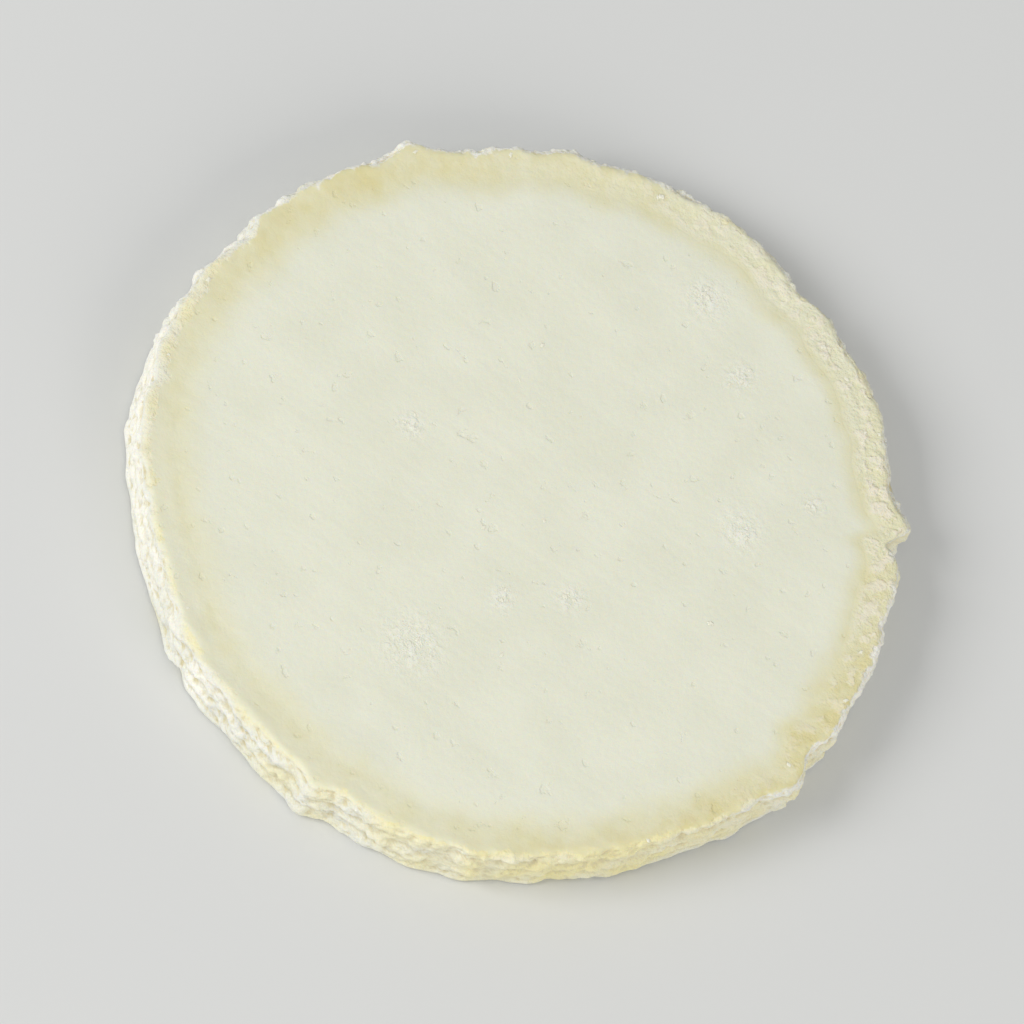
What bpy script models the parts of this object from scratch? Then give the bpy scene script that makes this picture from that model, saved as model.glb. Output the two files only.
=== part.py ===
"""A slice cut across a log of goat cheese with a soft white rind, lying flat.

Metres, with +Z up. The origin is the middle of the underside. Angles are degrees round from +X.
The skin of the log is worked out as a radius for each angle and height, and the solid is one
ring of points drawn out over the underside's edge, up the rind and back in over the cut face.
"""

import math

import bmesh
import bpy
from mathutils import Vector, noise

DIAMETER = 0.068
THICKNESS = 0.0058

# Columns of faces round the slice, and rows of faces up the rind.
COLUMNS = 344
SIDE_ROWS = 10

# The log isn't round: it was pressed flatter in places and bulges in others. Each row is the
# middle of the stretch, how far it spreads to each side, and how far the skin moves out.
SWELLS = (
    (-158, 14, 0.0005),
    (-138, 16, -0.0003),
    (-100, 16, 0.0002),
    (-52, 14, -0.0004),
    (-34, 14, -0.0009),
    (14, 16, -0.0002),
    (58, 24, 0.0003),
    (80, 22, 0.0002),
    (127, 10, -0.0005),
    (178, 24, 0.0002),
)

# The rind's own unevenness: folds, dents and bumps all round it, a nick with a sharp bump
# beside it, and a stretch where the rind came away, between two corners that stand out. The
# columns are those of SWELLS, and a last one that says how far up the rind each is deepest.
MARKS = (
    (-122, 1.8, 0.0004, 0.5),
    (-115, 3.0, 0.0003, 0.5),
    (-112, 6.0, -0.0001, 0.6),
    (-103, 4.0, -0.0003, 0.4),
    (-92, 2.4, 0.0007, 0.5),
    (-86, 3.0, -0.0002, 0.4),
    (-75, 1.8, 0.0003, 0.4),
    (-66, 2.2, 0.0004, 0.5),
    (-13, 2.6, 0.0007, 0.7),
    (-8, 2.2, -0.0010, 0.5),
    (3, 3.0, -0.0004, 0.9),
    (17.5, 3.6, -0.0004, 1.0),
    (26, 3.0, 0.0003, 1.0),
    (30.3, 1.3, -0.0016, 1.0),
    (33.5, 2.0, 0.0011, 0.9),
    (42, 4.6, -0.0008, 1.0),
    (56, 3.6, 0.0003, 1.0),
    (69.5, 2.4, 0.0004, 1.0),
    (74, 3.2, -0.0009, 1.0),
    (83, 3.2, 0.0003, 1.0),
    (109, 3.4, -0.0003, 1.0),
    (115, 2.6, 0.0004, 1.0),
    (131, 3.6, -0.0006, 1.0),
    (139, 2.6, 0.0009, 0.9),
    (144.5, 2.2, -0.0008, 1.0),
    (170, 2.6, -0.0006, 0.9),
)
MARK_REACH = 0.9

# The rind is wrinkled: ridges run round it, level but wandering, with knobs between them.
RIDGE_SPACING = 0.0019
RIDGE_DEPTH = 0.00020
RIDGE_WANDER = 1.3
RIDGE_WANDER_LENGTH = 0.009
KNOB_SIZE = 0.0024
KNOB_DEPTH = 0.00036
KNOB_STRETCH = 1.8

# Each wrinkle pattern is read from its own place in the noise.
RIDGE_PLACE = Vector((7, 0, 0))
KNOB_PLACE = Vector((0, 11, 0))
LIP_PLACE = Vector((0, 0, 5))

# The cut edges are rounded over. The soft layer under the rind sinks a little on the upper
# face, and the rind stands up outside it as a ragged lip.
EDGE_ROUND = 0.0005
EDGE_INSET = 0.00025
LIP_INSET = 0.0008
LIP_HEIGHT = 0.00016
LIP_WAVE = 0.0034
EDGE_LIP = 0.6
SOFT_LIP = 0.3
SOFT_INSET = 0.0019
SOFT_DEPTH = 0.00006
CREASE_INSET = 0.0033
CREASE_DEPTH = 0.00009
PASTE_INSET = 0.0048
FOOT_INSET = 0.0010

PASTE_COLOUR = (0.80, 0.79, 0.66, 1.0)
PASTE_ROUGHNESS = 0.55


def clear_scene():
    """Start from an empty scene."""
    for item in list(bpy.data.objects):
        bpy.data.objects.remove(item, do_unlink=True)


def bell(angle, middle, spread):
    """A smooth hump, 1 at the middle angle, fading over the spread to each side."""
    away = (angle - middle + 180) % 360 - 180
    return math.exp(-((away / spread) ** 2))


def log_radius(angle):
    """Radius of the log's skin at an angle, without its wrinkles."""
    swell = sum(depth * bell(angle, middle, spread) for middle, spread, depth in SWELLS)
    return DIAMETER / 2 + swell


def on_circle(angle, height, size):
    """A point of the skin, measured in lumps of the given size, for the noise to read."""
    turn = math.radians(angle)
    radius = DIAMETER / 2
    return Vector((radius * math.cos(turn), radius * math.sin(turn), height)) / size


def ridges(angle, height):
    """Wandering level ridges, which fade in and out along the rind."""
    wander = noise.noise(on_circle(angle, 0, RIDGE_WANDER_LENGTH)) * RIDGE_WANDER
    strength = 1 + noise.noise(on_circle(angle, height, RIDGE_WANDER_LENGTH) + RIDGE_PLACE)
    return RIDGE_DEPTH * strength * math.cos(math.tau * (height / RIDGE_SPACING + wander))


def knobs(angle, height):
    """Rounded knobs, drawn out along the height."""
    coarse = noise.noise(on_circle(angle, height / KNOB_STRETCH, KNOB_SIZE))
    fine = noise.noise(on_circle(angle, height, KNOB_SIZE / 2) + KNOB_PLACE)
    return KNOB_DEPTH * (coarse + fine / 2)


def marks(angle, height):
    """The nick, bumps and corners of the rind."""
    total = 0
    for middle, spread, depth, level in MARKS:
        away = (height / THICKNESS - level) / MARK_REACH
        total += depth * bell(angle, middle, spread) * math.exp(-(away**2))
    return total


def skin_radius(angle, height):
    """Radius of the wrinkled rind at an angle and height."""
    wrinkles = ridges(angle, height) + knobs(angle, height)
    return log_radius(angle) + wrinkles + marks(angle, height)


def lip(angle):
    """How far the rind's cut edge stands above the paste at an angle."""
    return LIP_HEIGHT * (0.5 + noise.noise(on_circle(angle, 0, LIP_WAVE) + LIP_PLACE))


def rings():
    """Each ring of points in turn: how far in from the skin, how high, and its share of lip."""
    top = THICKNESS
    yield FOOT_INSET, 0, 0
    yield EDGE_INSET, EDGE_ROUND / 3, 0
    for row in range(SIDE_ROWS):
        share = row / (SIDE_ROWS - 1)
        yield 0, EDGE_ROUND + share * (top - 2 * EDGE_ROUND), 0
    yield EDGE_INSET, top - EDGE_ROUND / 3, EDGE_LIP
    yield LIP_INSET, top, 1
    yield SOFT_INSET, top - SOFT_DEPTH, SOFT_LIP
    yield CREASE_INSET, top - CREASE_DEPTH, 0
    yield PASTE_INSET, top, 0


def place_ring(points, inset, height, lip_share):
    """Move a ring of points to its place on the slice. Each point keeps its angle."""
    hold = max(0, 1 - inset / PASTE_INSET)
    for point in points:
        angle = math.degrees(math.atan2(point.co.y, point.co.x))
        plain = log_radius(angle)
        radius = plain + hold * (skin_radius(angle, height) - plain) - inset
        level = height + lip_share * lip(angle)
        point.co = Vector((radius * math.cos(math.radians(angle)),
                           radius * math.sin(math.radians(angle)), level))


def draw_out(mesh, edges):
    """Extrude a ring of edges where it stands, and give its new edges and points."""
    made = bmesh.ops.extrude_edge_only(mesh, edges=edges)["geom"]
    new_edges = [item for item in made if isinstance(item, bmesh.types.BMEdge)]
    new_points = [item for item in made if isinstance(item, bmesh.types.BMVert)]
    return new_edges, new_points


def centre(mesh):
    """Slide the slice so that the middle of its box is over the origin."""
    across = [point.co.x for point in mesh.verts]
    along = [point.co.y for point in mesh.verts]
    middle = Vector((max(across) + min(across), max(along) + min(along), 0)) / 2
    bmesh.ops.translate(mesh, vec=-middle, verts=mesh.verts)


def slice_mesh():
    """The closed solid: both cut faces, and the rings between them."""
    mesh = bmesh.new()
    points = bmesh.ops.create_circle(mesh, segments=COLUMNS, radius=DIAMETER / 2)["verts"]
    edges = list(mesh.edges)
    for number, (inset, height, lip_share) in enumerate(rings()):
        if number:
            edges, points = draw_out(mesh, edges)
        place_ring(points, inset, height, lip_share)
    open_edges = [edge for edge in mesh.edges if edge.is_boundary]
    bmesh.ops.edgeloop_fill(mesh, edges=open_edges)
    bmesh.ops.recalc_face_normals(mesh, faces=mesh.faces)
    bmesh.ops.triangulate(mesh, faces=mesh.faces)
    centre(mesh)
    made = bpy.data.meshes.new("cheese_slice")
    mesh.to_mesh(made)
    mesh.free()
    made.shade_smooth()
    made.set_sharp_from_angle(angle=math.radians(50))
    return made


def cheese_material():
    """Pale ivory cheese, soft and slightly moist."""
    material = bpy.data.materials.new("goat_cheese")
    material.use_nodes = True
    surface = material.node_tree.nodes["Principled BSDF"]
    surface.inputs["Base Color"].default_value = PASTE_COLOUR
    surface.inputs["Roughness"].default_value = PASTE_ROUGHNESS
    surface.inputs["Metallic"].default_value = 0.0
    return material


clear_scene()
cheese_slice = bpy.data.objects.new("cheese_slice", slice_mesh())
cheese_slice.data.materials.append(cheese_material())
bpy.context.scene.collection.objects.link(cheese_slice)
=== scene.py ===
import math
import random

import bmesh
import bpy
from mathutils import Matrix, Vector, noise


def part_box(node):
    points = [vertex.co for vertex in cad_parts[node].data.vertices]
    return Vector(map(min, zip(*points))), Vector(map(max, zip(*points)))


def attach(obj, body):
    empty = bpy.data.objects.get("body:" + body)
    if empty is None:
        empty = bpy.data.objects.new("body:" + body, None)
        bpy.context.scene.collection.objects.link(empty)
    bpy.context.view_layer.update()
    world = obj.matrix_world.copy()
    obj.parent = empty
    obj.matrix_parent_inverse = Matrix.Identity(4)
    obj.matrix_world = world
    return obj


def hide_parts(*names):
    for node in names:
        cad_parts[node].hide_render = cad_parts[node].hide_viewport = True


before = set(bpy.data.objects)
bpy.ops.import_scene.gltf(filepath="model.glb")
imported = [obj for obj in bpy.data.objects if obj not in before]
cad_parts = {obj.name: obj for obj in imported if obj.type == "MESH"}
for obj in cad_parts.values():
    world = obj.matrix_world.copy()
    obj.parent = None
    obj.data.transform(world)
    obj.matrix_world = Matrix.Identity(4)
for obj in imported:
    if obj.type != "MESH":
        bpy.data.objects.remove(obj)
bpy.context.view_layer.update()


# ---------------------------------------------------------------------------------------------
# The slice. A wheel cut across a log of fresh goat cheese: close white paste, with a wrinkled
# skin of white mould grown on it. It is turned up as a plain wheel, cut finer towards the rind,
# and laid over the solid, so that it keeps the log's uneven outline and the knife's flat faces.

MM = 0.001
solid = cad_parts["cheese_slice"]
slice_low, slice_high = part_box("cheese_slice")
WHEEL_RADIUS = (slice_high.x - slice_low.x + slice_high.y - slice_low.y) / 4
WHEEL_THICKNESS = 5.8 * MM

# Columns of faces round the paste, and rows up the rind, before the rind is cut finer.
COLUMNS = 132
RIND_ROWS = 4
# Rings on each cut face, from the rim inwards: how many, and how wide each is.
UPPER_RINGS = ((3, 1.6 * MM), (5, 1.4 * MM), (7, 1.4 * MM), (16, 0.7 * MM), (1, 0.8 * MM))
LOWER_RINGS = ((1, 1.2 * MM), (2, 1.8 * MM), (3, 3.6 * MM), (3, 5.0 * MM))


def select_faces(piece, wanted):
    """In edit mode, select the faces whose middle and normal pass the test, and no others."""
    bpy.ops.mesh.select_all(action="DESELECT")
    mesh = bmesh.from_edit_mesh(piece.data)
    for face in mesh.faces:
        if wanted(face.calc_center_median(), face.normal):
            face.select_set(True)
    bmesh.update_edit_mesh(piece.data)


def select_edges(piece, wanted):
    """In edit mode, select the edges whose two ends pass the test, and no others."""
    bpy.ops.mesh.select_all(action="DESELECT")
    mesh = bmesh.from_edit_mesh(piece.data)
    for edge in mesh.edges:
        if wanted(edge.verts[0].co, edge.verts[1].co):
            edge.select_set(True)
    bmesh.update_edit_mesh(piece.data)


bpy.ops.object.select_all(action="DESELECT")
bpy.ops.mesh.primitive_cylinder_add(
    vertices=COLUMNS, radius=WHEEL_RADIUS, depth=WHEEL_THICKNESS,
    end_fill_type="NGON", location=(0, 0, WHEEL_THICKNESS / 2))
cheese = bpy.context.object
cheese.name = "goat_cheese_slice"
bpy.ops.object.transform_apply(location=True, rotation=True, scale=True)

bpy.ops.object.mode_set(mode="EDIT")
bpy.ops.mesh.select_mode(type="FACE")
for upward, ring_groups in ((1, UPPER_RINGS), (-1, LOWER_RINGS)):
    select_faces(cheese, lambda middle, normal: normal.z * upward > 0.9)
    for ring_count, ring_width in ring_groups:
        for ring in range(ring_count):
            bpy.ops.mesh.inset(thickness=ring_width)
bpy.ops.mesh.select_mode(type="EDGE")
select_edges(cheese, lambda one, other: abs(one.z - other.z) > MM)
bpy.ops.mesh.subdivide(number_cuts=RIND_ROWS - 1)

# The faces are halved three times, each time on a narrower stretch by the rind.
bpy.ops.mesh.select_mode(type="FACE")
for kept_groups in (3, 2, 1):
    upper_reach = sum(count * width for count, width in UPPER_RINGS[:kept_groups])
    lower_reach = sum(count * width for count, width in LOWER_RINGS[:kept_groups])
    select_faces(cheese, lambda middle, normal: (
        abs(normal.z) < 0.5
        or middle.xy.length > WHEEL_RADIUS - (upper_reach if normal.z > 0 else lower_reach)))
    bpy.ops.mesh.subdivide(number_cuts=1)
bpy.ops.object.mode_set(mode="OBJECT")

# Each point is carried straight in until it meets the solid: down or up on the cut faces,
# level on the rind, and slantwise over the edges between them. How far in from the rim it
# lies on a cut face, or how far over the edge on the rind, is kept for the relief and colours.
EDGE_DEPTH = 1.2 * MM
START_OUT = 3 * MM
RIM_HEIGHTS = (0.3, 0.5, 0.7)
ANGLE_DIGITS = 3
# Where an edge of the wheel's rim is halved, the new point lies a hair inside the circle. All
# are stretched outwards by that much, and none past the solid's rim.
RIM_STRETCH = 1.0003


def rim_radius(outward):
    """How far the solid's rind is from the middle in a direction, as a mean of three heights."""
    total = 0
    for share in RIM_HEIGHTS:
        start = outward * 2 * WHEEL_RADIUS + Vector((0, 0, share * WHEEL_THICKNESS))
        total += solid.ray_cast(start, -outward)[1].xy.length
    return total / len(RIM_HEIGHTS)


rims = {}
insets = []
for vertex in cheese.data.vertices:
    angle = round(math.atan2(vertex.co.y, vertex.co.x), ANGLE_DIGITS)
    outward = Vector((math.cos(angle), math.sin(angle), 0))
    if angle not in rims:
        rims[angle] = rim_radius(outward)
    rim = rims[angle]
    radius = rim * min(1, vertex.co.xy.length / WHEEL_RADIUS * RIM_STRETCH)
    blank = outward * radius + Vector((0, 0, vertex.co.z))
    core_height = min(max(vertex.co.z, EDGE_DEPTH), WHEEL_THICKNESS - EDGE_DEPTH)
    core = outward * min(radius, rim - EDGE_DEPTH) + Vector((0, 0, core_height))
    inward = (core - blank).normalized()
    below_cut = min(vertex.co.z, WHEEL_THICKNESS - vertex.co.z)
    insets.append((rim - radius - below_cut) / MM)
    vertex.co = solid.ray_cast(blank - inward * START_OUT, inward)[1]

# Each zone of the slice has its own relief: the rind and its ragged lip, the soft cream band
# under the rind, the stretch where the knife tore that band, and the paste. All of it fades
# out towards the foot, where the weight of the slice has pressed the rind flat. The torn
# stretch is given in degrees round the slice.
FLAT_BELOW = 0.1 * MM
FULL_ABOVE = 0.9 * MM
TORN_MIDDLE = 64
TORN_SPREAD = 46
# Spots where the knife dragged the paste and broke its face: the middle and the reach of each,
# in millimetres.
BROKEN_SPOTS = (
    ((21.3, 15.7), 0.9),
    ((17.2, 9.6), 1.6),
    ((8.4, -5.2), 1.1),
    ((3.5, -8.9), 1.0),
    ((-0.7, -17.5), 2.4),
    ((-11.4, 0.0), 1.0),
    ((9.8, 22.0), 1.2),
    ((3.4, 26.5), 1.6),
)


def ramp(value, start, end):
    """0 before the start, 1 after the end, and smooth between them."""
    share = min(max((value - start) / (end - start), 0), 1)
    return share * share * (3 - 2 * share)


def near(point, middle, spread):
    """1 in a direction in degrees from the middle of the slice, fading over the spread."""
    away = math.degrees(math.atan2(point.y, point.x)) - middle
    away = (away + 180) % 360 - 180
    return math.exp(-((away / spread) ** 2))


def tear(point):
    """How torn the cut face is in a point's direction, from 0 to 1."""
    return near(point, TORN_MIDDLE, TORN_SPREAD)


def ripeness(point):
    """How far the band under the rind has ripened to tan, from 0 to 1."""
    return 0.4 + 0.58 * near(point, -12, 50) + 0.45 * near(point, 142, 55)


def creep(point):
    """How much deeper than elsewhere the ripening has crept into the paste, in millimetres."""
    return near(point, -120, 75) - 0.9 * near(point, -40, 30)


def pale_rim(point):
    """How much of the band's colour is lost again at the rim, from 0 to 1."""
    return 0.5 * near(point, -130, 50) + 0.3 * near(point, 130, 12)


def fold(point):
    """How much further in than elsewhere the mould folds over the rim, in millimetres."""
    return 0.9 * near(point, -168, 20)


def fray(point):
    """How much of the mould at the rim is broken into flecks, from 0 to 1."""
    return 0.05 + 0.95 * near(point, 45, 52)


def broken(point):
    """How broken the paste's face is at a point, from 0 to 1."""
    return max(math.exp(-((point.xy / MM - Vector(middle)).length / reach) ** 2)
               for middle, reach in BROKEN_SPOTS)


def bloom_and_painted_light(point):
    """How thick the white mould is over the whole rind, from 0 to 1. The thin, creamy stretch on
    the near right side is partly a painted shade with a yellowish painted reflection.
    """
    return 1 - 0.85 * near(point, -45, 42) - 0.4 * near(point, 70, 50)


def white_side_and_highlight(point):
    """How much is added to the mould's thickness halfway up the rind, so that the mould is whiter
    there; partly a painted highlight on the side the main light falls on.
    """
    return 0.8 * near(point, -158, 30) + 0.5 * near(point, -114, 7)


def white_rim_and_highlight(point):
    """How much is added to the mould's thickness along the rim, or taken from it where this is
    below 0; partly a painted highlight on the right and back of the rim, and less of it on the lit
    left.
    """
    return near(point, -2, 32) + 0.8 * near(point, 122, 38) - 0.15 * near(point, -128, 28)


# How strongly each zone's relief shows at a depth in millimetres, in over a cut face from the
# rim, or below 0 on the rind.
zones = {
    "rind": lambda point, deep: 1 - ramp(deep, -0.1, 0.7),
    "lip": lambda point, deep: ramp(deep, -1.2, -0.2) * (1 - ramp(deep, 0.3, 0.9)),
    "line": lambda point, deep: ramp(deep, 0.3, 0.9) * (1 - ramp(deep, 3.2, 5.0)),
    "torn": lambda point, deep: ramp(deep, 0.1, 0.6) * (1 - ramp(deep, 2.4, 3.4)) * tear(point),
    "paste": lambda point, deep: ramp(deep, 0.8, 2.5),
}
for name, weight in zones.items():
    group = cheese.vertex_groups.new(name=name)
    for vertex, deep in zip(cheese.data.vertices, insets):
        above_foot = ramp(vertex.co.z, FLAT_BELOW, FULL_ABOVE)
        group.add([vertex.index], weight(vertex.co, deep) * above_foot, "REPLACE")

# The solid's flat facets are smoothed away before the relief is pressed in.
bpy.ops.object.select_all(action="DESELECT")
cheese.select_set(True)
bpy.context.view_layer.objects.active = cheese
softened = cheese.modifiers.new("softened", "SMOOTH")
softened.factor = 0.5
softened.iterations = 6
bpy.ops.object.modifier_apply(modifier=softened.name)


def press_relief(piece, zone, pattern, size, depth, stretch=(1, 1, 1), **look):
    """Move a zone's points in and out by a pattern with lumps of this size, drawn out or not."""
    texture = bpy.data.textures.new(zone, pattern)
    texture.noise_scale = size
    for name, value in look.items():
        setattr(texture, name, value)
    guide = bpy.data.objects.new("guide", None)
    guide.scale = stretch
    bpy.context.scene.collection.objects.link(guide)
    bpy.context.view_layer.update()
    relief = piece.modifiers.new("relief", "DISPLACE")
    relief.texture = texture
    relief.texture_coords = "OBJECT"
    relief.texture_coords_object = guide
    relief.vertex_group = zone
    relief.strength = depth
    relief.mid_level = 0.5
    bpy.ops.object.modifier_apply(modifier=relief.name)
    bpy.data.objects.remove(guide)
    bpy.data.textures.remove(texture)


# Puffs of mould with creases between them, drawn out level; a finer crumb on those; and the
# crimped lip. The paste is nearly flat, with the faint waves of a wire's or a knife's pull.
press_relief(cheese, "rind", "CLOUDS", 2.0 * MM, 0.56 * MM, (1, 1, 0.9),
             noise_type="HARD_NOISE", noise_depth=1)
press_relief(cheese, "rind", "CLOUDS", 0.8 * MM, 0.30 * MM, noise_type="HARD_NOISE", noise_depth=2)
press_relief(cheese, "lip", "CLOUDS", 1.6 * MM, 0.36 * MM, noise_depth=2)
press_relief(cheese, "torn", "CLOUDS", 0.6 * MM, 0.22 * MM, noise_type="HARD_NOISE", noise_depth=2)
press_relief(cheese, "line", "CLOUDS", 2.2 * MM, 0.07 * MM, noise_depth=1)
press_relief(cheese, "paste", "CLOUDS", 9 * MM, 0.09 * MM, noise_depth=0)
bpy.ops.object.shade_smooth()


def wander(point, size):
    """A value from -1 to 1 that changes slowly over the slice, in patches of the given size."""
    return noise.noise(point / size)


# What the colours are worked out from is kept on each point. Distances are in millimetres.
bands = {"fold_inset": [], "band_depth": [], "band_left": [], "tear": [], "fray": [],
         "ripeness": [], "bloom_and_painted_light": [], "broken": []}
for vertex, deep in zip(cheese.data.vertices, insets):
    uneven = 0.6 * wander(vertex.co, 3 * MM)
    bands["fold_inset"].append(deep - fold(vertex.co))
    bands["band_depth"].append(deep - creep(vertex.co) + uneven)
    bands["band_left"].append(1 - pale_rim(vertex.co) * (1 - ramp(deep + uneven, 1.6, 3.1)))
    bands["tear"].append(tear(vertex.co))
    bands["fray"].append(fray(vertex.co))
    bands["ripeness"].append(ripeness(vertex.co) * (0.95 + 0.35 * wander(vertex.co, 4 * MM)))
    # The white added halfway up the rind and along the rim is partly a painted highlight.
    thicker_and_highlight = (white_side_and_highlight(vertex.co) * (1 - ramp(deep, -0.7, 0.1))
               + white_rim_and_highlight(vertex.co) * ramp(deep, -1.0, -0.2) - 0.4 * ramp(deep, 0, 0.8))
    bands["bloom_and_painted_light"].append(bloom_and_painted_light(vertex.co) + thicker_and_highlight + 0.6 * wander(vertex.co, 2.5 * MM))
    bands["broken"].append(broken(vertex.co))
for name, values in bands.items():
    cheese.data.attributes.new(name, "FLOAT", "POINT").data.foreach_set("value", values)

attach(cheese, "root")
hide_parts("cheese_slice")


def linear(code):
    """The linear colour of an sRGB hex code."""
    channels = [int(code[start:start + 2], 16) / 255 for start in (0, 2, 4)]
    return [share / 12.92 if share <= 0.04045 else ((share + 0.055) / 1.055) ** 2.4
            for share in channels] + [1]


def add_node(material, kind, inputs=(), output=0, **settings):
    """Add a shader node with its settings, set or link its inputs, and give one output."""
    tree = material.node_tree
    node = tree.nodes.new("ShaderNode" + kind)
    for name, value in settings.items():
        setattr(node, name, value)
    for name, value in dict(inputs).items():
        if isinstance(value, bpy.types.NodeSocket):
            tree.links.new(value, node.inputs[name])
        else:
            node.inputs[name].default_value = value
    return node.outputs[output]


def blend(material, share, first, second, **settings):
    """The first colour where the share is 0, and the second where it is 1."""
    return add_node(material, "Mix", {0: share, 6: first, 7: second}, 2,
                    data_type="RGBA", **settings)


def blend_values(material, share, first, second):
    """The first value where the share is 0, and the second where it is 1."""
    return add_node(material, "Mix", {0: share, 2: first, 3: second})


def times(material, value, factor):
    """A value multiplied by a factor."""
    return add_node(material, "Math", {0: value, 1: factor}, operation="MULTIPLY")


def plus_times(material, start, value, factor):
    """A starting value, with a second one added that is multiplied by a factor."""
    return add_node(material, "Math", {0: value, 1: factor, 2: start}, operation="MULTIPLY_ADD")


def kept_on_points(material, name):
    """The value that was kept on each point under a name."""
    return add_node(material, "Attribute", output="Fac", attribute_name=name)


# Fresh goat cheese: damp, close curd that light sinks a little way into. Under the rind it
# has ripened to a soft cream and tan band, and the rind is dry white mould with a fine nap.
PASTE = linear("EAECDC")
PASTE_SHADE = linear("E6E8D7")
CURD_GRAIN = linear("F2F3E8")
CREAM = linear("E4E2C2")
TAN = linear("DED7A6")
MOULD = linear("E8E9DF")
MOULD_THICK_AND_HIGHLIGHT = linear("F7F6EC")
MOULD_FLECK = linear("EEE9D8")
# The thin mould colour is partly a painted shade with a yellowish painted reflection, on the near
# right side.
MOULD_THIN_AND_SHADED = linear("EDE6B6")
# The crease colour is a painted shade, laid in the mould's hollows.
MOULD_CREASE_SHADE = linear("DCD4B2")

goat_cheese = bpy.data.materials.new("goat_cheese")
goat_cheese.use_nodes = True
skin = goat_cheese.node_tree.nodes["Principled BSDF"]
join = goat_cheese.node_tree.links.new
place = add_node(goat_cheese, "TexCoord", output="Object")
fold_inset = kept_on_points(goat_cheese, "fold_inset")
band_depth = kept_on_points(goat_cheese, "band_depth")
band_left = kept_on_points(goat_cheese, "band_left")
torn = kept_on_points(goat_cheese, "tear")
ripe = kept_on_points(goat_cheese, "ripeness")
frayed = kept_on_points(goat_cheese, "fray")
thickness_and_painted_light = kept_on_points(goat_cheese, "bloom_and_painted_light")
spots = kept_on_points(goat_cheese, "broken")

# The paste is barely mottled, in patches of 6 mm, with paler grains of curd where it is broken.
mottle = add_node(goat_cheese, "TexNoise", {"Vector": place, "Scale": 1 / (6 * MM), "Detail": 1})
mottle = add_node(goat_cheese, "MapRange", {"Value": mottle, "From Min": 0.35, "From Max": 0.65})
paste = blend(goat_cheese, mottle, PASTE, PASTE_SHADE)
grain = add_node(goat_cheese, "TexNoise", {
    "Vector": place, "Scale": 1 / (0.6 * MM), "Detail": 3, "Roughness": 0.6})
grains = add_node(goat_cheese, "MapRange", {"Value": grain, "From Min": 0.4, "From Max": 0.6})
grains = times(goat_cheese, grains, spots)
paste = blend(goat_cheese, grains, paste, CURD_GRAIN)

# The band darkens from 5.7 mm in to 1.2 mm in, in blotches 1.5 mm across, and in places it is
# paler again at the rim. Where it is torn it is a line 3.3 mm in, and paler outside that.
dapple = add_node(goat_cheese, "TexNoise", {"Vector": place, "Scale": 1 / (1.5 * MM), "Detail": 1})
whole_band = add_node(goat_cheese, "MapRange", {
    "Value": band_depth, "From Min": 5.7, "From Max": 1.2}, interpolation_type="SMOOTHSTEP")
whole_band = times(goat_cheese, whole_band, band_left)
torn_line = add_node(goat_cheese, "MapRange", {
    "Value": band_depth, "From Min": 5.6, "From Max": 3.3}, interpolation_type="SMOOTHSTEP")
torn_rim = add_node(goat_cheese, "MapRange", {
    "Value": band_depth, "From Min": 2.6, "From Max": 3.2, "To Min": 0.65},
    interpolation_type="SMOOTHSTEP")
torn_band = times(goat_cheese, torn_line, torn_rim)
band = blend_values(goat_cheese, torn, whole_band, torn_band)
band = times(goat_cheese, band, ripe)
blotch = add_node(goat_cheese, "MapRange", {
    "Value": dapple, "From Min": 0.35, "From Max": 0.65, "To Min": 0.85, "To Max": 1.15})
band = times(goat_cheese, band, blotch)
cream_share = add_node(goat_cheese, "MapRange", {"Value": band, "From Max": 0.5})
tan_share = add_node(goat_cheese, "MapRange", {"Value": band, "From Min": 0.5})
face = blend(goat_cheese, cream_share, paste, CREAM)
face = blend(goat_cheese, tan_share, face, TAN)

# Flecks of broken mould, 1 mm across, lie on the band outside that, most of them where it is
# torn.
ragged = add_node(goat_cheese, "TexNoise", {
    "Vector": place, "Scale": 1 / (1.1 * MM), "Roughness": 0.6})
outside = add_node(goat_cheese, "MapRange", {
    "Value": band_depth, "From Min": 3.4, "From Max": 2.4})
outside = times(goat_cheese, outside, frayed)
flecks = add_node(goat_cheese, "MapRange", {
    "Value": ragged, "From Min": 0.52, "From Max": 0.42, "To Max": 0.85})
flecks = times(goat_cheese, flecks, outside)
face = blend(goat_cheese, flecks, face, MOULD_FLECK)

# The mould covers the rind and folds over the rim with a ragged edge. It is thinner and
# creamier on one side, partly as a painted shade with a yellowish painted reflection; its
# creases carry a painted shade; and it is whitest where it lies heaviest, and where painted
# highlights are added along the rim and halfway up the rind.
wave = add_node(goat_cheese, "MapRange", {"Value": ragged, "To Min": -1.1, "To Max": 0.9})
edge = add_node(goat_cheese, "Math", {0: fold_inset, 1: wave}, operation="ADD")
mould = add_node(goat_cheese, "MapRange", {
    "Value": edge, "From Min": 0.7, "From Max": 0.3}, interpolation_type="SMOOTHSTEP")
nap = blend(goat_cheese, thickness_and_painted_light, MOULD_THIN_AND_SHADED, MOULD, clamp_factor=True)
# Painted highlight: the whitest mould colour goes where the painted highlights lift the value past
# 1, as well as where the mould lies heaviest.
thickest_and_highlight = add_node(goat_cheese, "MapRange", {"Value": thickness_and_painted_light, "From Min": 1.0, "From Max": 1.6})
nap = blend(goat_cheese, thickest_and_highlight, nap, MOULD_THICK_AND_HIGHLIGHT)
# Painted shade: the mould turns a greyer cream in its hollows, found by how concave the surface
# is.
crease_shade = add_node(goat_cheese, "NewGeometry", output="Pointiness")
crease_shade = add_node(goat_cheese, "MapRange", {"Value": crease_shade, "From Min": 0.45, "From Max": 0.5})
nap = blend(goat_cheese, crease_shade, MOULD_CREASE_SHADE, nap)
join(blend(goat_cheese, mould, face, nap), skin.inputs["Base Color"])

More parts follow.
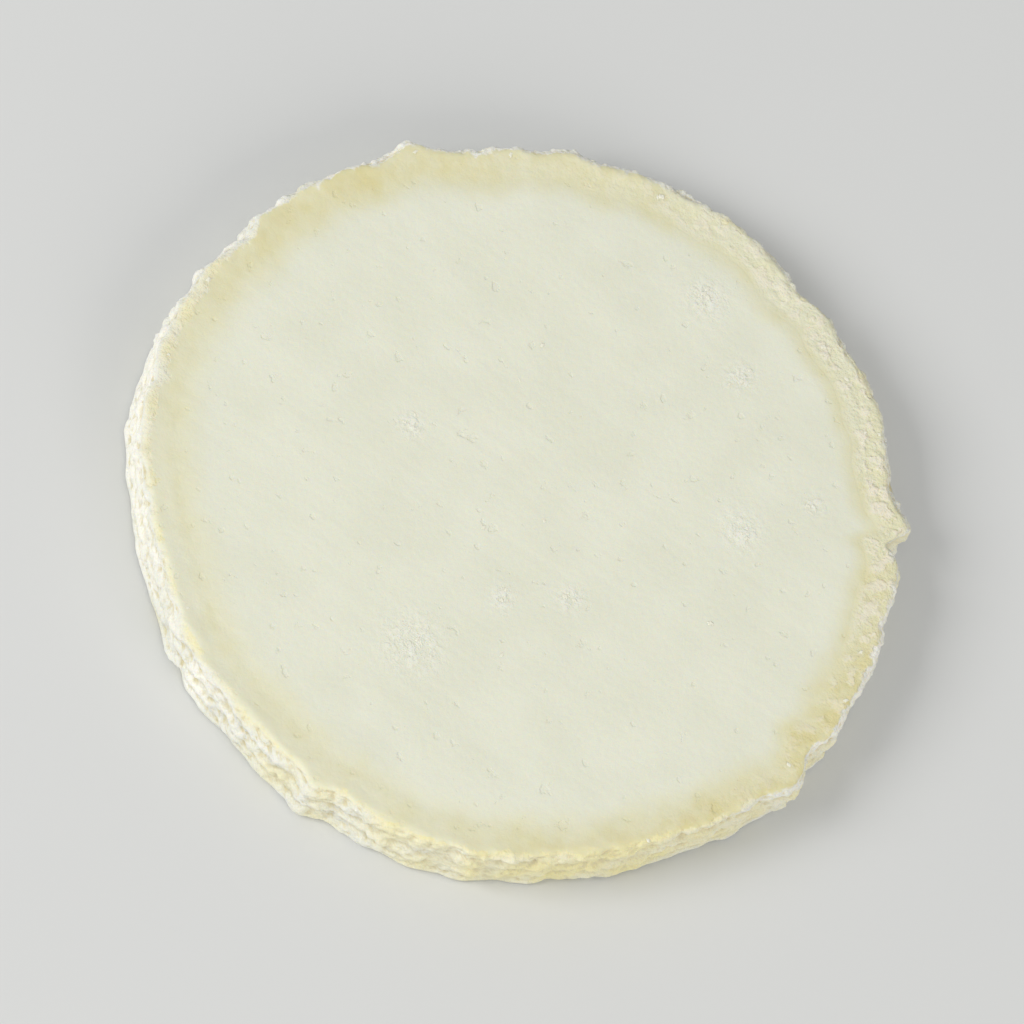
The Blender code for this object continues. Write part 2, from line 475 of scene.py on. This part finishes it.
# Damp paste has a low, uneven sheen, and the mould has none.
damp = add_node(goat_cheese, "MapRange", {"Value": mottle, "To Min": 0.48, "To Max": 0.6})
join(blend_values(goat_cheese, mould, damp, 0.9), skin.inputs["Roughness"])
skin.inputs["IOR"].default_value = 1.42
skin.inputs["Specular IOR Level"].default_value = 0.35
skin.inputs["Subsurface Weight"].default_value = 0.25
skin.inputs["Subsurface Radius"].default_value = (1.0, 0.8, 0.5)
skin.inputs["Subsurface Scale"].default_value = 1.5 * MM

# The fine surface, with heights in millimetres: curd grain, the drag of the knife and shallow
# uneven pits on the paste, crumbled curd where the band is torn, a hair lower than the paste, and
# the nap of the mould.
GRAIN_HEIGHT = 0.05
DRAG_HEIGHT = 0.045
PIT_DEPTH = 0.05
BROKEN_HEIGHT = 0.07
CRUMBLED_HEIGHT = 0.2
FLECK_HEIGHT = 0.08
TORN_LEVEL = -0.05
NAP_HEIGHT = 0.3
NAP_LEVEL = -0.1
KNIFE_DIRECTION = math.radians(-59)
along_knife = add_node(goat_cheese, "Mapping", {
    "Vector": place, "Rotation": (0, 0, -KNIFE_DIRECTION), "Scale": (0.1, 1, 1)})
drag = add_node(goat_cheese, "TexNoise", {
    "Vector": along_knife, "Scale": 1 / (1.3 * MM), "Detail": 1})
drag = times(goat_cheese, drag, DRAG_HEIGHT)
curd = plus_times(goat_cheese, drag, grain, GRAIN_HEIGHT)
pitting = plus_times(goat_cheese, dapple, grain, 0.5)
pits = add_node(goat_cheese, "MapRange", {
    "Value": pitting, "From Min": 0.94, "From Max": 1.04, "To Max": PIT_DEPTH},
    interpolation_type="SMOOTHSTEP")
curd = add_node(goat_cheese, "Math", {0: curd, 1: pits}, operation="SUBTRACT")
torn_level = times(goat_cheese, torn, TORN_LEVEL)
crumbled = times(goat_cheese, grain, outside)
curd = plus_times(goat_cheese, curd, crumbled, CRUMBLED_HEIGHT)
curd = plus_times(goat_cheese, curd, flecks, FLECK_HEIGHT)
curd = plus_times(goat_cheese, curd, grains, BROKEN_HEIGHT)
step = add_node(goat_cheese, "MapRange", {
    "Value": band_depth, "From Min": 3.6, "From Max": 2.9})
curd = plus_times(goat_cheese, curd, step, torn_level)
fuzz = plus_times(goat_cheese, NAP_LEVEL, grain, NAP_HEIGHT)
height = blend_values(goat_cheese, mould, curd, fuzz)
join(add_node(goat_cheese, "Bump", {"Strength": 1.0, "Distance": MM, "Height": height}),
     skin.inputs["Normal"])
cheese.data.materials.append(goat_cheese)


# ---------------------------------------------------------------------------------------------
# Crumbs. Specks of curd that the knife dragged up and left on the cut face, and larger ones
# of broken mould along the rim. Each is a small rough lump, stuck down by its damp underside.

# Some crumbs lie at the broken spots, some by the rim and a few anywhere. Lengths here are in
# millimetres. The spread at a spot is a share of its reach. By the rim they spread from the torn
# stretch by so many degrees, and lie between two shares of the wheel's radius.
SPOT_CRUMBS = 3
SPOT_CRUMB_SIZE = 0.42
SPOT_SPREAD = 0.4
LOOSE_CRUMBS = 6
LOOSE_CRUMB_SIZE = 0.4
LOOSE_SPREAD = 13
RIM_CRUMBS = 22
RIM_CRUMB_SIZE = 0.5
RIM_SPREAD = 60
RIM_SHARE_IN = 0.935
RIM_SHARE_OUT = 0.985
SMALLEST_CRUMB = 0.6
LARGEST_CRUMB = 1.3
CRUMB_FLATNESS = 0.3
CRUMB_SINK = 0.02
ABOVE_SLICE = 20
luck_of_crumbs = random.Random(5)

bpy.ops.object.select_all(action="DESELECT")
bpy.ops.mesh.primitive_ico_sphere_add(subdivisions=3, radius=0.5)
lump = bpy.context.object
lump.vertex_groups.new(name="all").add(range(len(lump.data.vertices)), 1, "REPLACE")
press_relief(lump, "all", "CLOUDS", 0.45, 0.7, noise_depth=1)

crumb_places = []
for middle, reach in BROKEN_SPOTS:
    for number in range(SPOT_CRUMBS):
        offset = Vector((luck_of_crumbs.gauss(0, SPOT_SPREAD),
                         luck_of_crumbs.gauss(0, SPOT_SPREAD))) * reach
        crumb_places.append((Vector(middle) + offset, SPOT_CRUMB_SIZE))
for number in range(LOOSE_CRUMBS):
    where = Vector((luck_of_crumbs.gauss(0, LOOSE_SPREAD), luck_of_crumbs.gauss(0, LOOSE_SPREAD)))
    crumb_places.append((where, LOOSE_CRUMB_SIZE))
for number in range(RIM_CRUMBS):
    angle = math.radians(luck_of_crumbs.gauss(TORN_MIDDLE, RIM_SPREAD))
    radius = luck_of_crumbs.uniform(RIM_SHARE_IN, RIM_SHARE_OUT) * WHEEL_RADIUS / MM
    crumb_places.append((Vector((math.cos(angle), math.sin(angle))) * radius, RIM_CRUMB_SIZE))

# One that would fall past a dent in the rim is left out.
crumbs = []
for where, size in crumb_places:
    above = Vector((where.x, where.y, ABOVE_SLICE)) * MM
    met, spot = cheese.ray_cast(above, Vector((0, 0, -1)))[:2]
    if not met:
        continue
    crumb = bpy.data.objects.new("crumb", lump.data.copy())
    bpy.context.scene.collection.objects.link(crumb)
    length, width = [size * MM * luck_of_crumbs.uniform(SMALLEST_CRUMB, LARGEST_CRUMB)
                     for side in range(2)]
    crumb.scale = (length, width, min(length, width) * CRUMB_FLATNESS)
    crumb.rotation_euler = (0, 0, luck_of_crumbs.uniform(0, math.tau))
    crumb.location = spot - Vector((0, 0, CRUMB_SINK)) * MM
    crumbs.append(crumb)
bpy.data.objects.remove(lump)
bpy.ops.object.select_all(action="DESELECT")
for crumb in crumbs:
    crumb.select_set(True)
crumb_heap = crumbs[0]
bpy.context.view_layer.objects.active = crumb_heap
bpy.ops.object.join()
bpy.ops.object.transform_apply(location=True, rotation=True, scale=True)
bpy.ops.object.shade_smooth()
crumb_heap.name = "crumbs"

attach(crumb_heap, "root")

# The same curd, broken: drier at its corners than the cut face, and a little whiter.
broken_curd = bpy.data.materials.new("broken_curd")
broken_curd.use_nodes = True
skin = broken_curd.node_tree.nodes["Principled BSDF"]
join = broken_curd.node_tree.links.new
place = add_node(broken_curd, "TexCoord", output="Object")
mottle = add_node(broken_curd, "TexNoise", {"Vector": place, "Scale": 1 / (0.8 * MM)})
join(blend(broken_curd, mottle, linear("EBEBDA"), linear("F0EFE0")), skin.inputs["Base Color"])
grain = add_node(broken_curd, "TexNoise", {"Vector": place, "Scale": 1 / (0.2 * MM)})
join(add_node(broken_curd, "MapRange", {"Value": grain, "To Min": 0.7, "To Max": 0.9}),
     skin.inputs["Roughness"])
join(add_node(broken_curd, "Bump", {"Strength": 1.0, "Distance": 0.05 * MM, "Height": grain}),
     skin.inputs["Normal"])
skin.inputs["IOR"].default_value = 1.42
skin.inputs["Specular IOR Level"].default_value = 0.2
crumb_heap.data.materials.clear()
crumb_heap.data.materials.append(broken_curd)


# ---------------------------------------------------------------------------------------------
# The table, the light and the camera. A sheet of matt pale card, a broad soft light from the
# front left, a weaker one low on the right, and a long lens looking steeply down. The card is a
# hair below the slice, so that no two faces share a plane.

TABLE_SIZE = 8
TABLE_DROP = 0.05 * MM
bpy.ops.mesh.primitive_plane_add(size=TABLE_SIZE, location=(0, 0, -TABLE_DROP))
table = bpy.context.object
table.name = "table"

# Smooth uncoated card, with the faintest cloud in its tone.
pale_card = bpy.data.materials.new("pale_card")
pale_card.use_nodes = True
skin = pale_card.node_tree.nodes["Principled BSDF"]
skin.inputs["Roughness"].default_value = 0.85
skin.inputs["Specular IOR Level"].default_value = 0.2
place = add_node(pale_card, "TexCoord", output="Object")
cloud = add_node(pale_card, "TexNoise", {"Vector": place, "Scale": 1 / (40 * MM)})
pale_card.node_tree.links.new(blend(pale_card, cloud, linear("D9DBDC"), linear("DBDDDE")),
                              skin.inputs["Base Color"])
table.data.materials.append(pale_card)

SKY_STRENGTH = 0.47
studio = bpy.data.worlds.new("studio")
bpy.context.scene.world = studio
studio.use_nodes = True
studio.node_tree.nodes["Background"].inputs["Color"].default_value = linear("FFFFFF")
studio.node_tree.nodes["Background"].inputs["Strength"].default_value = SKY_STRENGTH


def hang_light(name, azimuth, elevation, distance, size, watts, code):
    """Hang a square soft light at a compass direction and a height, aimed at the slice."""
    turn, lift = math.radians(azimuth), math.radians(elevation)
    direction = Vector((math.cos(turn) * math.cos(lift), math.sin(turn) * math.cos(lift),
                        math.sin(lift)))
    bpy.ops.object.light_add(type="AREA", location=direction * distance)
    lamp = bpy.context.object
    lamp.name = name
    lamp.rotation_euler = direction.to_track_quat("Z", "Y").to_euler()
    lamp.data.size = size
    lamp.data.energy = watts
    lamp.data.color = linear(code)[:3]


hang_light("main_light", azimuth=217, elevation=37, distance=1.0, size=0.5, watts=5.8,
           code="FFFDF8")
hang_light("fill_light", azimuth=-30, elevation=28, distance=1.2, size=0.8, watts=5.2,
           code="FFFAF0")

VIEW_ELEVATION = math.radians(62.6)
VIEW_ROLL = math.radians(34.3)
VIEW_DISTANCE = 1.78
LENS = 724
FILM_WIDTH = 36
bpy.ops.object.camera_add()
camera = bpy.context.object
backward = Vector((0, -math.cos(VIEW_ELEVATION), math.sin(VIEW_ELEVATION)))
aim = Vector((0, 0, WHEEL_THICKNESS / 2))
facing = backward.to_track_quat("Z", "Y").to_matrix().to_4x4()
camera.matrix_world = (Matrix.Translation(aim + backward * VIEW_DISTANCE) @ facing
                       @ Matrix.Rotation(VIEW_ROLL, 4, "Z"))
camera.data.lens = LENS
camera.data.sensor_width = FILM_WIDTH
camera.data.clip_end = 10
bpy.context.scene.camera = camera
bpy.context.scene.view_settings.view_transform = "Standard"
